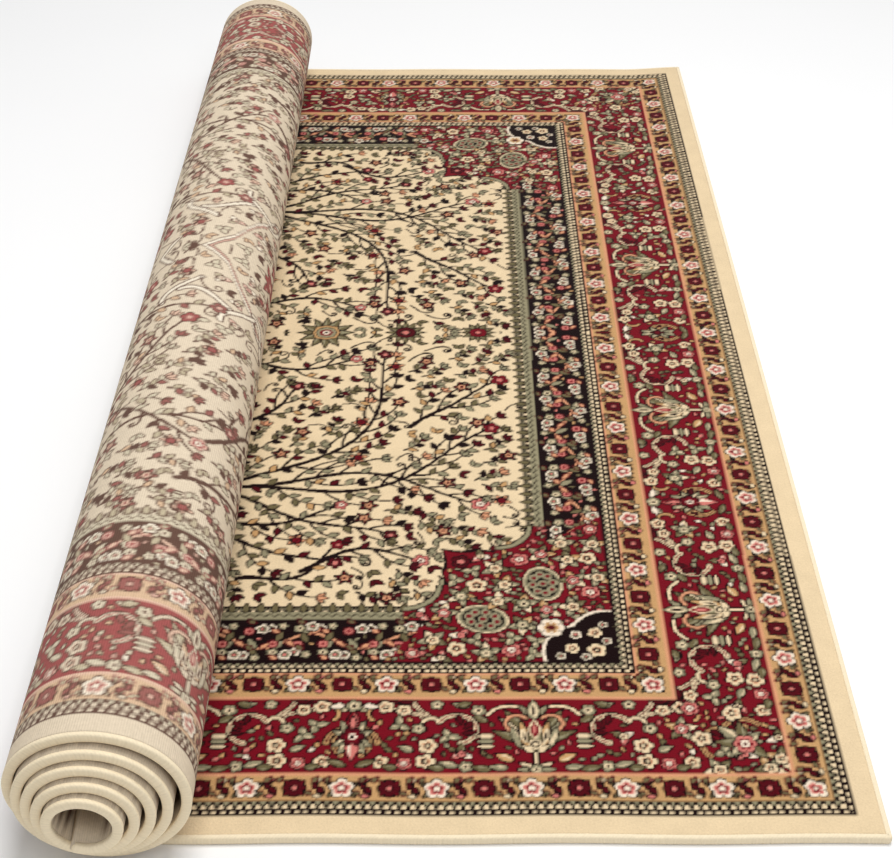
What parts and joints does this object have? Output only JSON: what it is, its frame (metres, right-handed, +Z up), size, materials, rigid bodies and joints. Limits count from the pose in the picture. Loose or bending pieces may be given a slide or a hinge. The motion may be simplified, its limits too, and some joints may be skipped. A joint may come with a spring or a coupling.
{
  "type": "rolled up carpet",
  "caption": "Rectangular bordered floor carpet lying pile up, one side wound along its width into a roll and the other side laid flat.",
  "frame": {"origin": "on the floor under the middle of the carpet's bounding box as it lies, part flat and part rolled", "axes": "+X along the carpet's length from the roll to the flat end, +Y along its width and along the roll, away from the end where the turns slide out, +Z up"},
  "size_m": [0.7044, 1.583, 0.14],
  "materials": {
    "carpet_wool": "cut pile woven in cream, crimson, gold, sage and black, with a ribbed woven back and serged cream edges"
  },
  "bodies": {
    "root": {"carpet": "carpet_wool"}
  },
  "joints": []
}
